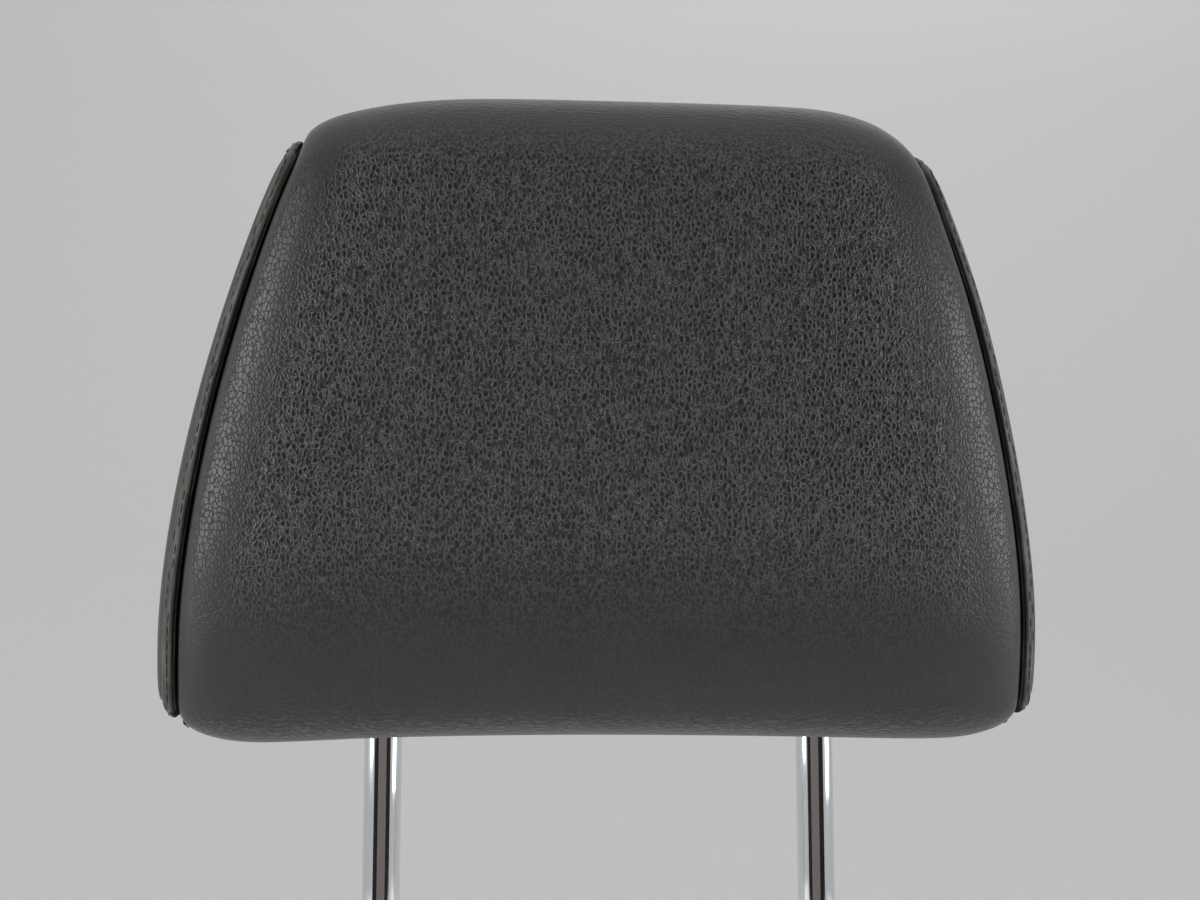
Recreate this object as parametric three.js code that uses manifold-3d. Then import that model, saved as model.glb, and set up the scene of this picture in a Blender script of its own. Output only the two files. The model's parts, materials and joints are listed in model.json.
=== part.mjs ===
// A car seat headrest: a moulded foam pad in a three-panel leatherette cover, on a U-shaped
// plated steel tube whose two legs slide into the top of a seat back.
// Inside, two moulded plastic carrier halves clamp the tube and key it into the foam.
// Millimetres, +Z up along the legs, -Y towards the passenger's head.
// The origin lies midway between the legs, where they enter the foot of the pad.

import * as THREE from "three";
import { mergeVertices } from "three/addons/utils/BufferGeometryUtils.js";
import Module from "manifold-3d";

const wasm = await Module();
wasm.setup();

// Steel tube
const tubeDiameter = 12;
const tubeWall = 2.5;
const legSpacing = 140;
const legReach = 170;
const legChamfer = 1;
const crossbarHeight = 122;
const crossbarBendRadius = 26;
const leanDegrees = 8;
const leanHeight = 20;
const leanBendRadius = 42;

// Notches in the left leg that the seat's latch drops into, and the stop notch of each leg
const notchCount = 4;
const notchPitch = 20;
const notchFirstDrop = 72;
const notchHeight = 5;
const notchRamp = 4;
const notchDepth = 1.8;
const stopNotchDrop = 152;

// Pad outline, seen from the front
const padHeight = 208.4;
const padHalfWidth = 140.9;
const padTopHalfWidth = 95.7;
const widestHeight = 35;
const sideTaperPower = 1.66;
const footTuck = 10;
const footTuckPower = 2.5;

// Pad outline, seen from the side, measured from the plane of the tube
const frontDepth = 50;
const frontFullHeight = 85;
const frontTopLean = 10;
const frontFootTuck = 7;
const backDepth = 44;
const backFullHeight = 70;
const backTopLean = 22;
const backFootTuck = 6;
const crownPower = 2;

// How far the rounded top and foot reach towards the middle, and how square each rounding is
const topRound = 32;
const footRound = 23.5;
const sideSquareness = 3.4;
const topCornerSquareness = 3.6;
const footCornerSquareness = 3.85;
const topSquareness = 2.3;
const footSquareness = 4;

// The underside rises in an arch between the corners, and is hollowed up to a flat for the legs
const footArch = 7;
const archReach = 115;
const hollowHeight = 9;
const hollowHalfLength = 94;
const hollowHalfWidth = 16;
const hollowSlope = 13;
const undersideFade = 44;

// Cover: the seam runs round each side where the roundings have shrunk to this share of the pad
const seamShare = 0.572;
const coverThickness = 2;
const seamGroove = 1.4;
const seamGrooveWidth = 5;
const lipWidth = 3;
const seamGap = 0.5;
const fitGap = 0.4;

// Closure along the underside: two hooked profiles between the legs
const slotWidth = 13;
const slotEndClearance = 4;
const profileHeight = 9;
const profileWall = 1.4;
const profileFlange = 6;
const profileTip = 3.2;
const hookGap = 0.3;

// Plastic rosettes round the legs
const rosetteDiameter = 30;
const rosetteFlange = 1.8;
const rosetteEdge = 0.9;
const rosetteSleeve = 7;
const rosetteSleeveWall = 1.6;
const runningGap = 0.3;

// Screws that clamp the carrier halves together: the lower pair stands above the carrier's foot,
// the upper pair above the crossbar
const screwShank = 3.6;
const screwHead = 7.4;
const screwHeadHeight = 2.6;
const screwBite = 11;
const screwHeadSeat = 8;
const bossWall = 2.2;
const screwHalfSpacing = 46;
const screwAboveFoot = 10;
const screwAboveBar = 16;

// Plastic carrier halves, with their edges measured from the legs' axes and the upper screws
const carrierFoot = 24;
const carrierEdgeLow = 20;
const carrierEdgeHigh = 14;
const carrierEdgeTop = 14;
const carrierCorner = 14;
const carrierDepth = 15;
const carrierWall = 2.4;
const ribThickness = 2;
const uprightRibPitch = 34;
const uprightRibCount = 3;
const levelRibFirst = 50;
const levelRibPitch = 34;
const levelRibCount = 2;
const saddleLength = 8;
const saddleSideWall = 3;

// Fineness of the round forms
const tubeSides = 20;
const boreSides = 12;
const bendStep = THREE.MathUtils.degToRad(11.25);
const cornerSteps = 4;
const faceSteps = 9;
const roundSteps = 8;
const panelShares = [0, 0.2, 0.4, 0.58, 0.74, 0.88, 1];
const grooveSteps = 2;
const gussetSteps = 4;
const rosetteSides = 32;
const screwSides = 12;
const mergeDistance = 1e-4;

const lean = THREE.MathUtils.degToRad(leanDegrees);
const tubeRadius = tubeDiameter / 2;
const boreRadius = tubeRadius - tubeWall;
const legX = legSpacing / 2;
const spineLow = footRound;
const spineHigh = padHeight - topRound;
const screwLowHeight = carrierFoot + screwAboveFoot;
const screwHighHeight = crossbarHeight + screwAboveBar;
const carrierTop = screwHighHeight + carrierEdgeTop;
const carrierHalfWidthLow = legX + carrierEdgeLow;
const carrierHalfWidthTop = legX + carrierEdgeHigh;

// Materials

function finish(color, roughness, metalness = 0) {
  return new THREE.MeshStandardMaterial({ color, roughness, metalness });
}

const leatherette = () => finish(0x2b2c2c, 0.55);
const chrome = () => finish(0xd8dade, 0.08, 1);
const foam = () => finish(0xd9cfae, 0.95);
const blackPlastic = () => finish(0x161616, 0.5);
const carrierPlastic = () => finish(0x3a3c3e, 0.6);
const screwSteel = () => finish(0xb9b7ac, 0.35, 0.9);

// Solids

// A closed geometry as a solid, with its shared vertices merged and its empty triangles left out
function solidOf(geometry) {
  const bare = geometry.index ? geometry.toNonIndexed() : geometry.clone();
  bare.deleteAttribute("normal");
  bare.deleteAttribute("uv");
  const merged = mergeVertices(bare, mergeDistance);
  const corners = merged.index.array;
  const triangles = [];
  for (let i = 0; i < corners.length; i += 3) {
    const [a, b, c] = corners.slice(i, i + 3);
    if (a !== b && b !== c && c !== a) triangles.push(a, b, c);
  }
  return new wasm.Manifold(
    new wasm.Mesh({
      numProp: 3,
      vertProperties: merged.attributes.position.array,
      triVerts: new Uint32Array(triangles),
    }),
  );
}

function geometryOf(solid) {
  const mesh = solid.getMesh();
  const geometry = new THREE.BufferGeometry();
  const positions = new Float32Array(mesh.numVert * 3);
  for (let i = 0; i < mesh.numVert; i++) {
    const start = i * mesh.numProp;
    positions.set(mesh.vertProperties.subarray(start, start + 3), i * 3);
  }
  geometry.setAttribute("position", new THREE.BufferAttribute(positions, 3));
  geometry.setIndex(new THREE.BufferAttribute(mesh.triVerts, 1));
  geometry.computeVertexNormals();
  return geometry;
}

function solidFrom(points, triangles) {
  const geometry = new THREE.BufferGeometry().setFromPoints(points);
  geometry.setIndex(triangles);
  return solidOf(geometry);
}

function block(x0, x1, y0, y1, z0, z1) {
  const geometry = new THREE.BoxGeometry(x1 - x0, y1 - y0, z1 - z0);
  return solidOf(geometry.translate((x0 + x1) / 2, (y0 + y1) / 2, (z0 + z1) / 2));
}

// A round bar along Y
function barAlongY(radius, x, y0, y1, z) {
  const geometry = new THREE.CylinderGeometry(radius, radius, Math.abs(y1 - y0), screwSides);
  return solidOf(geometry.translate(x, (y0 + y1) / 2, z));
}

// A round bar along Z
function barAlongZ(radius, x, y, z0, z1) {
  const geometry = new THREE.CylinderGeometry(radius, radius, z1 - z0, rosetteSides);
  return solidOf(geometry.rotateX(Math.PI / 2).translate(x, y, (z0 + z1) / 2));
}

// A flat outline in X and Z, given thickness along Y
function plate(shape, y0, y1) {
  const geometry = new THREE.ExtrudeGeometry(shape, {
    depth: y1 - y0,
    bevelEnabled: false,
    curveSegments: cornerSteps,
  });
  return solidOf(geometry.rotateX(Math.PI / 2).translate(0, y1, 0));
}

// Steel tube

// Points and directions along a line with rounded corners: each corner has a point and a radius
function bentLine(corners) {
  const stations = [];
  const heading = (i) => corners[i + 1].point.clone().sub(corners[i].point).normalize();
  const last = corners.length - 1;
  stations.push({ point: corners[0].point, direction: heading(0) });
  for (let i = 1; i < last; i++) {
    const { point, radius } = corners[i];
    const arriving = heading(i - 1);
    const turn = arriving.angleTo(heading(i));
    const axis = arriving.clone().cross(heading(i)).normalize();
    const start = point.clone().addScaledVector(arriving, -radius * Math.tan(turn / 2));
    const centre = start.clone().addScaledVector(axis.clone().cross(arriving), radius);
    const steps = Math.max(2, Math.round(turn / bendStep));
    for (let s = 0; s <= steps; s++) {
      const angle = (turn * s) / steps;
      const spoke = start.clone().sub(centre).applyAxisAngle(axis, angle);
      const direction = arriving.clone().applyAxisAngle(axis, angle);
      stations.push({ point: centre.clone().add(spoke), direction });
    }
  }
  stations.push({ point: corners[last].point, direction: heading(last - 1) });
  return stations;
}

// A round bar that follows the stations, with a radius for each
function sweptBar(stations, radii, sides) {
  const points = [];
  const triangles = [];
  const across = new THREE.Vector3(1, 0, 0);
  let previous = stations[0].direction;
  stations.forEach(({ point, direction }, i) => {
    across.applyQuaternion(new THREE.Quaternion().setFromUnitVectors(previous, direction));
    previous = direction;
    const up = direction.clone().cross(across);
    for (let j = 0; j < sides; j++) {
      const angle = (2 * Math.PI * j) / sides;
      const rim = point.clone().addScaledVector(across, radii[i] * Math.cos(angle));
      points.push(rim.addScaledVector(up, radii[i] * Math.sin(angle)));
    }
  });
  for (let i = 0; i + 1 < stations.length; i++) {
    for (let j = 0; j < sides; j++) {
      const a = i * sides + j;
      const b = i * sides + ((j + 1) % sides);
      triangles.push(a, b, b + sides, a, b + sides, a + sides);
    }
  }
  const end = (stations.length - 1) * sides;
  for (let j = 1; j + 1 < sides; j++) {
    triangles.push(0, j + 1, j, end, end + j, end + j + 1);
  }
  return solidFrom(points, triangles);
}

// The centre line of the U, from the foot of one leg to the foot of the other
function tubeLine(reach) {
  const rise = crossbarHeight - leanHeight;
  const barY = -rise * Math.sin(lean);
  const barZ = leanHeight + rise * Math.cos(lean);
  const leg = (x) => [
    { point: new THREE.Vector3(x, 0, -reach) },
    { point: new THREE.Vector3(x, 0, leanHeight), radius: leanBendRadius },
    { point: new THREE.Vector3(x, barY, barZ), radius: crossbarBendRadius },
  ];
  return bentLine([...leg(-legX), ...leg(legX).reverse()]);
}

function tubeOuter() {
  const line = tubeLine(legReach);
  const shoulder = ({ point, direction }, distance) => ({
    point: point.clone().addScaledVector(direction, distance),
    direction,
  });
  const first = line[0];
  const last = line[line.length - 1];
  const stations = [first, shoulder(first, legChamfer), ...line.slice(1, -1)];
  stations.push(shoulder(last, -legChamfer), last);
  const radii = stations.map(() => tubeRadius);
  radii[0] = tubeRadius - legChamfer;
  radii[radii.length - 1] = tubeRadius - legChamfer;
  return sweptBar(stations, radii, tubeSides);
}

// A latch notch in one side of a leg: square at the top, with a ramp below it
function latchNotch(x, side, drop) {
  const floor = x + side * (tubeRadius - notchDepth);
  const clear = x + side * (tubeRadius + notchDepth);
  const shape = new THREE.Shape();
  shape.moveTo(clear, -drop);
  shape.lineTo(floor, -drop);
  shape.lineTo(floor, -drop - notchHeight);
  shape.lineTo(clear, -drop - notchHeight - 2 * notchRamp);
  shape.closePath();
  return plate(shape, -tubeDiameter, tubeDiameter);
}

function frameTube() {
  const boreLine = tubeLine(legReach + legChamfer);
  const bore = sweptBar(boreLine, boreLine.map(() => boreRadius), boreSides);
  let tube = tubeOuter().subtract(bore);
  for (let i = 0; i < notchCount; i++) {
    tube = tube.subtract(latchNotch(-legX, -1, notchFirstDrop + i * notchPitch));
  }
  tube = tube.subtract(latchNotch(-legX, -1, stopNotchDrop));
  return tube.subtract(latchNotch(legX, 1, stopNotchDrop));
}

// The pad leans forward from the bend in the tube, which lies on the legs' own axes.
function leaningGroup() {
  const group = new THREE.Group();
  group.position.set(0, leanHeight * Math.sin(lean), leanHeight * (1 - Math.cos(lean)));
  group.rotation.x = lean;
  group.updateMatrixWorld(true);
  return group;
}

// The tube as the pad's own parts see it, fatter by a gap
function tubeRoom(gap) {
  const line = tubeLine(legReach);
  const room = sweptBar(line, line.map(() => tubeRadius + gap), tubeSides);
  return solidOf(geometryOf(room).applyMatrix4(leaningGroup().matrixWorld.invert()));
}

// How far in front of the pad's middle plane a leg's axis lies at a height below the bend
function legDepthAt(z) {
  return -(leanHeight - z) * Math.tan(lean);
}

// Pad surface

// Where a height lies on the way between two others, from 0, and never less
function way(z, from, to) {
  return Math.max(0, (z - from) / (to - from));
}

function smoothFall(value, from, length) {
  return 1 - THREE.MathUtils.smoothstep(Math.abs(value), from, from + length);
}

function halfWidthAt(z) {
  const taper = (padHalfWidth - padTopHalfWidth) * way(z, widestHeight, padHeight) ** sideTaperPower;
  return padHalfWidth - taper - footTuck * way(z, widestHeight, 0) ** footTuckPower;
}

function frontDepthAt(z) {
  const top = frontTopLean * way(z, frontFullHeight, padHeight) ** crownPower;
  return frontDepth - top - frontFootTuck * way(z, frontFullHeight, 0) ** crownPower;
}

function backDepthAt(z) {
  const top = backTopLean * way(z, backFullHeight, padHeight) ** crownPower;
  return backDepth - top - backFootTuck * way(z, backFullHeight, 0) ** crownPower;
}

// How much the underside rises above a plain foot
function undersideRise(x, y, z) {
  const fade = Math.max(0, 1 - Math.max(0, z) / undersideFade) ** 2;
  const arch = footArch * Math.max(0, 1 - (x / archReach) ** 2);
  const hollow = smoothFall(x, hollowHalfLength, hollowSlope) * smoothFall(y, hollowHalfWidth, hollowSlope);
  return fade * (arch + hollow * (hollowHeight - z - arch));
}

// A quarter of a squared circle: its reach along its two axes at an angle
function squaredArc(degrees, squareness) {
  const angle = THREE.MathUtils.degToRad(degrees);
  const share = (value) => (value < Number.EPSILON ? 0 : value ** (2 / squareness));
  return [share(Math.cos(angle)), share(Math.sin(angle))];
}

// The pad's outline in its middle plane: from the underside up the front, over the top,
// down the back and round to the underside. The sign is -1 in front and 1 behind.
// The reach is the share of the depth there, and the cap the height beyond the spine's end.
function padLoop() {
  const loop = [];
  const round = (sign, spine, height, squareness, from, to) => {
    for (let i = 0; i <= roundSteps; i++) {
      const [reach, lift] = squaredArc(from + ((to - from) * i) / roundSteps, squareness);
      loop.push({ sign, reach, cap: height * lift, spine });
    }
  };
  const face = (sign, from, to) => {
    for (let i = 1; i < faceSteps; i++) {
      loop.push({ sign, reach: 1, cap: 0, spine: from + ((to - from) * i) / faceSteps });
    }
  };
  round(-1, spineLow, -footRound, footSquareness, 90, 0);
  face(-1, spineLow, spineHigh);
  round(-1, spineHigh, topRound, topSquareness, 0, 90);
  loop.pop();
  round(1, spineHigh, topRound, topSquareness, 90, 0);
  face(1, spineHigh, spineLow);
  round(1, spineLow, -footRound, footSquareness, 0, 90);
  loop.pop();
  return loop;
}

function squarenessAt({ cap }) {
  const [share, corner] = cap < 0
    ? [-cap / footRound, footCornerSquareness]
    : [cap / topRound, topCornerSquareness];
  return sideSquareness + (corner - sideSquareness) * share;
}

// A point of the pad's surface, or of one that lies inside it by the inset.
// The angle runs from 0 in the middle plane to 90 degrees at the middle of a side.
function padPoint(station, degrees, mirror, inset) {
  const [shrink, spread] = squaredArc(degrees, squarenessAt(station));
  const outline = station.spine + station.cap;
  const depth = station.sign < 0 ? frontDepthAt(outline) : backDepthAt(outline);
  const at = (inwards) => {
    const cap = station.cap * (1 - inwards / (station.cap < 0 ? footRound : topRound));
    const z = station.spine + cap * shrink;
    const y = station.sign * (depth - inwards) * station.reach * shrink;
    return new THREE.Vector3(mirror * (halfWidthAt(z) - inwards) * spread, y, z);
  };
  const outer = at(0);
  const point = at(inset);
  point.z += undersideRise(outer.x, outer.y, outer.z);
  return point;
}

// Where the seam crosses a station, with the length of surface that one degree covers there
function seamAt(station) {
  const shrunk = seamShare ** (squarenessAt(station) / 2);
  const seam = THREE.MathUtils.radToDeg(Math.acos(shrunk));
  const span = padPoint(station, seam, 1, 0).distanceTo(padPoint(station, seam - 1, 1, 0));
  return { seam, span };
}

// Columns from the middle plane to the seam. Each has an angle and the depth of the seam's groove.
function acrossPanel(station) {
  const { seam, span } = seamAt(station);
  const edge = seam - seamGap / 2 / span;
  const shoulder = edge - seamGrooveWidth / span;
  const columns = panelShares.map((share) => ({ degrees: shoulder * share, dip: 0 }));
  for (let i = 1; i <= grooveSteps; i++) {
    const part = i / grooveSteps;
    columns.push({ degrees: shoulder + (edge - shoulder) * part, dip: seamGroove * part ** 2 });
  }
  return columns;
}

// Columns from the seam to the middle of a side, with the folded lip beside the seam
function acrossGusset(station) {
  const { seam, span } = seamAt(station);
  const edge = seam + seamGap / 2 / span;
  const shoulder = edge + lipWidth / span;
  const columns = [];
  for (let i = 0; i < grooveSteps; i++) {
    const part = i / grooveSteps;
    const dip = seamGroove * (1 - part) ** 2;
    columns.push({ degrees: edge + (shoulder - edge) * part, dip });
  }
  for (let i = 0; i <= gussetSteps; i++) {
    columns.push({ degrees: shoulder + ((90 - shoulder) * i) / gussetSteps, dip: 0 });
  }
  return columns;
}

// One layer of points: a row for each station, from one side of the pad to the other
function layer(loop, columnsOf, inset) {
  return loop.map((station) =>
    columnsOf(station).map(({ degrees, dip, mirror }) =>
      padPoint(station, degrees, mirror, inset + dip),
    ),
  );
}

function mirrored(columns, mirror) {
  return columns.map((column) => ({ ...column, mirror }));
}

function wholePanel(station) {
  const half = acrossPanel(station);
  return [...mirrored(half.slice(1).reverse(), -1), ...mirrored(half, 1)];
}

function wholeWidth(station) {
  const side = acrossGusset(station);
  return [...mirrored([...side].reverse(), -1), ...wholePanel(station), ...mirrored(side, 1)];
}

// Triangles of a grid of points that starts at an index. The next row follows the last of a loop.
function gridTriangles(rows, columns, start, closed, facing) {
  const triangles = [];
  for (let i = 0; i < (closed ? rows : rows - 1); i++) {
    for (let j = 0; j + 1 < columns; j++) {
      const a = start + i * columns + j;
      const d = start + ((i + 1) % rows) * columns + j;
      const quad = [a, a + 1, d + 1, a, d + 1, d];
      triangles.push(...(facing > 0 ? quad : quad.reverse()));
    }
  }
  return triangles;
}

// A sheet with thickness, between an outer and an inner layer of points
function sheetSolid(outer, inner, closed, facing) {
  const rows = outer.length;
  const columns = outer[0].length;
  const count = rows * columns;
  const triangles = [
    ...gridTriangles(rows, columns, 0, closed, facing),
    ...gridTriangles(rows, columns, count, closed, -facing),
  ];
  const wall = (a, b) => {
    const quad = [a, b, b + count, a, b + count, a + count];
    triangles.push(...(facing > 0 ? quad.reverse() : quad));
  };
  for (let i = 0; i < (closed ? rows : rows - 1); i++) {
    const next = ((i + 1) % rows) * columns;
    wall(next, i * columns);
    wall(i * columns + columns - 1, next + columns - 1);
  }
  for (let j = 0; !closed && j + 1 < columns; j++) {
    wall(j, j + 1);
    wall((rows - 1) * columns + j + 1, (rows - 1) * columns + j);
  }
  return solidFrom([...outer.flat(), ...inner.flat()], triangles);
}

// Underside fittings

const slotHalfLength = legX - rosetteDiameter / 2 - slotEndClearance;
const rosetteTop = hollowHeight - runningGap;
const rosetteY = legDepthAt(rosetteTop);
const sleeveLean = (rosetteSleeve / 2) * Math.tan(lean);
const sleeveRadius = tubeRadius + runningGap + rosetteSleeveWall + sleeveLean;

function legRosette(x, room) {
  const radius = rosetteDiameter / 2;
  const edgeRise = rosetteEdge * (1 - Math.SQRT1_2);
  const profile = [
    new THREE.Vector2(0, -rosetteFlange),
    new THREE.Vector2(radius - rosetteEdge, -rosetteFlange),
    new THREE.Vector2(radius - edgeRise, edgeRise - rosetteFlange),
    new THREE.Vector2(radius, rosetteEdge - rosetteFlange),
    new THREE.Vector2(radius, 0),
    new THREE.Vector2(sleeveRadius, 0),
    new THREE.Vector2(sleeveRadius, rosetteSleeve),
    new THREE.Vector2(0, rosetteSleeve),
  ];
  const body = new THREE.LatheGeometry(profile, rosetteSides);
  body.rotateX(Math.PI / 2).translate(x, rosetteY, rosetteTop);
  return solidOf(body).subtract(room);
}

// A hooked profile of the closure. The front one hooks down over the rear one, which hooks up.
function closureProfile(side) {
  const legOuter = slotWidth / 2 - hookGap;
  const legInner = legOuter - profileWall;
  const tipInner = -hookGap / 2;
  const tipOuter = tipInner - profileWall;
  const flangeLow = coverThickness + hookGap;
  const flangeEnd = legOuter + profileFlange;
  const outline = side < 0
    ? [
        [legOuter, 0],
        [legInner, 0],
        [legInner, profileHeight - profileWall],
        [tipInner, profileHeight - profileWall],
        [tipInner, profileHeight - profileWall - profileTip],
        [tipOuter, profileHeight - profileWall - profileTip],
        [tipOuter, profileHeight],
        [legOuter, profileHeight],
      ]
    : [
        [legOuter, 0],
        [tipOuter, 0],
        [tipOuter, profileWall + profileTip],
        [tipInner, profileWall + profileTip],
        [tipInner, profileWall],
        [legInner, profileWall],
        [legInner, flangeLow + profileWall],
        [legOuter, flangeLow + profileWall],
      ];
  const flange = [
    [legInner, flangeLow],
    [flangeEnd, flangeLow],
    [flangeEnd, flangeLow + profileWall],
    [legInner, flangeLow + profileWall],
  ];
  const along = (points) => {
    const shape = new THREE.Shape(points.map(([y, z]) => new THREE.Vector2(side * y, z)));
    const depth = 2 * (slotHalfLength - hookGap);
    const geometry = new THREE.ExtrudeGeometry(shape, { depth, bevelEnabled: false });
    geometry.rotateX(Math.PI / 2).rotateZ(Math.PI / 2);
    return solidOf(geometry.translate(-depth / 2, 0, hollowHeight));
  };
  return along(outline).add(along(flange));
}

// Cover panels

function coverMainPanel() {
  const loop = padLoop();
  const ends = [{ ...loop[0] }, { ...loop[0], sign: 1 }];
  for (const end of ends) end.reach = seamGap / 2 / frontDepthAt(0);
  const open = [ends[0], ...loop.slice(1), ends[1]];
  const outer = layer(open, wholePanel, 0);
  const inner = layer(open, wholePanel, coverThickness);
  let panel = sheetSolid(outer, inner, false, 1);
  const half = slotWidth / 2;
  panel = panel.subtract(block(-slotHalfLength, slotHalfLength, -half, half, -footRound, footRound));
  const seatTop = rosetteTop + runningGap;
  for (const x of [-legX, legX]) {
    const hole = barAlongZ(sleeveRadius + runningGap, x, rosetteY, -footRound, footRound);
    const seat = barAlongZ(rosetteDiameter / 2 + runningGap, x, rosetteY, -footRound, seatTop);
    panel = panel.subtract(hole).subtract(seat);
  }
  return panel;
}

function coverSide(mirror) {
  const columns = (station) => mirrored(acrossGusset(station), mirror);
  const loop = padLoop();
  return sheetSolid(layer(loop, columns, 0), layer(loop, columns, coverThickness), true, mirror);
}

// Foam core

function carrierShape(outset) {
  const low = carrierHalfWidthLow + outset;
  const top = carrierHalfWidthTop + outset;
  const z0 = carrierFoot - outset;
  const z1 = carrierTop + outset;
  const corner = carrierCorner + outset;
  const slant = (low - top) / (z1 - z0);
  const shape = new THREE.Shape();
  shape.moveTo(-low + corner, z0);
  shape.lineTo(low - corner, z0);
  shape.quadraticCurveTo(low, z0, low - slant * corner, z0 + corner);
  shape.lineTo(top + slant * corner, z1 - corner);
  shape.quadraticCurveTo(top, z1, top - corner, z1);
  shape.lineTo(-top + corner, z1);
  shape.quadraticCurveTo(-top, z1, -top - slant * corner, z1 - corner);
  shape.lineTo(-low + slant * corner, z0 + corner);
  shape.quadraticCurveTo(-low, z0, -low + corner, z0);
  return shape;
}

function foamCore() {
  const loop = padLoop();
  const surface = layer(loop, wholeWidth, coverThickness + fitGap);
  const rows = surface.length;
  const columns = surface[0].length;
  const triangles = gridTriangles(rows, columns, 0, true, 1);
  const reach = carrierDepth + fitGap;
  const mouthTop = carrierFoot + carrierWall;
  const mouth = slotWidth / 2 + profileFlange + fitGap;
  let core = solidFrom(surface.flat(), triangles);
  core = core.subtract(plate(carrierShape(fitGap), -reach, reach));
  core = core.subtract(block(-legX, legX, -mouth, mouth, -footRound, mouthTop));
  for (const x of [-legX, legX]) {
    core = core.subtract(barAlongZ(mouth, x, 0, -footRound, mouthTop));
  }
  return core;
}

// Carrier halves

const screwPlaces = [
  [-screwHalfSpacing, screwLowHeight],
  [screwHalfSpacing, screwLowHeight],
  [-screwHalfSpacing, screwHighHeight],
  [screwHalfSpacing, screwHighHeight],
];

// A half of the carrier: in front of the tube for side -1, and behind it for side 1
function carrierShell(side, room) {
  const across = (near, far) => [Math.min(side * near, side * far), Math.max(side * near, side * far)];
  const [outerFrom, outerTo] = across(runningGap / 2, carrierDepth);
  const [pocketFrom, pocketTo] = across(-carrierWall, carrierDepth - carrierWall);
  const outer = plate(carrierShape(0), outerFrom, outerTo);
  const pocket = plate(carrierShape(-carrierWall), pocketFrom, pocketTo);
  const [webFrom, webTo] = across(runningGap / 2, carrierDepth - carrierWall / 2);
  const webs = [];
  const addWeb = (x0, x1, z0, z1) => webs.push(block(x0, x1, webFrom, webTo, z0, z1));
  const rib = ribThickness / 2;
  const saddle = saddleLength / 2;
  const clamp = tubeRadius + saddleSideWall;
  for (let i = 0; i < uprightRibCount; i++) {
    const x = (i - (uprightRibCount - 1) / 2) * uprightRibPitch;
    addWeb(x - rib, x + rib, carrierFoot, carrierTop);
    addWeb(x - saddle, x + saddle, crossbarHeight - clamp, crossbarHeight + clamp);
  }
  for (let i = 0; i < levelRibCount; i++) {
    const z = levelRibFirst + i * levelRibPitch;
    addWeb(-carrierHalfWidthLow, carrierHalfWidthLow, z - rib, z + rib);
    for (const x of [-legX, legX]) addWeb(x - clamp, x + clamp, z - saddle, z + saddle);
  }
  const bossRadius = (side < 0 ? screwShank : screwHead) / 2 + bossWall;
  for (const [x, z] of screwPlaces) webs.push(barAlongY(bossRadius, x, webFrom, webTo, z));
  const inside = wasm.Manifold.union(webs).intersect(outer);
  let shell = outer.subtract(pocket).add(inside).subtract(room);
  for (const [x, z] of screwPlaces) {
    const bore = screwShank / 2 + runningGap;
    if (side < 0) {
      shell = shell.subtract(barAlongY(bore, x, -screwBite - runningGap, carrierWall, z));
    } else {
      const counterbore = screwHead / 2 + runningGap;
      shell = shell.subtract(barAlongY(bore, x, -carrierWall, carrierDepth, z));
      shell = shell.subtract(barAlongY(counterbore, x, screwHeadSeat, carrierDepth + carrierWall, z));
    }
  }
  return shell;
}

function carrierScrew(x, z) {
  const seat = screwHeadSeat + runningGap;
  const head = barAlongY(screwHead / 2, x, seat, seat + screwHeadHeight, z);
  return head.add(barAlongY(screwShank / 2, x, -screwBite, seat + screwHeadHeight / 2, z));
}

// Assembly

function piece(name, solid, material) {
  const mesh = new THREE.Mesh(geometryOf(solid), material);
  mesh.name = name;
  return mesh;
}

const headrest = new THREE.Group();
headrest.add(piece("frame_tube", frameTube(), chrome()));

const pad = leaningGroup();
headrest.add(pad);
const room = tubeRoom(runningGap);
pad.add(piece("cover_main_panel", coverMainPanel(), leatherette()));
pad.add(piece("cover_side_left", coverSide(-1), leatherette()));
pad.add(piece("cover_side_right", coverSide(1), leatherette()));
pad.add(piece("foam_core", foamCore(), foam()));
pad.add(piece("carrier_front_shell", carrierShell(-1, room), carrierPlastic()));
pad.add(piece("carrier_rear_shell", carrierShell(1, room), carrierPlastic()));
screwPlaces.forEach(([x, z], i) => {
  pad.add(piece(`carrier_screw_${i + 1}`, carrierScrew(x, z), screwSteel()));
});
pad.add(piece("leg_rosette_left", legRosette(-legX, room), blackPlastic()));
pad.add(piece("leg_rosette_right", legRosette(legX, room), blackPlastic()));
pad.add(piece("closure_profile_front", closureProfile(-1), blackPlastic()));
pad.add(piece("closure_profile_rear", closureProfile(1), blackPlastic()));

export default headrest;
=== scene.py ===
# %% [markdown]
# # A car headrest in a plain studio
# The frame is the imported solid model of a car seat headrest: a leatherette pad on a bent steel tube.
# It is loaded first, and every piece below is made in its space, in metres.
# +Z points up along the legs, and -Y towards the passenger's head, which is where the camera stands.

# %% Load the frame
import json
import math

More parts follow.
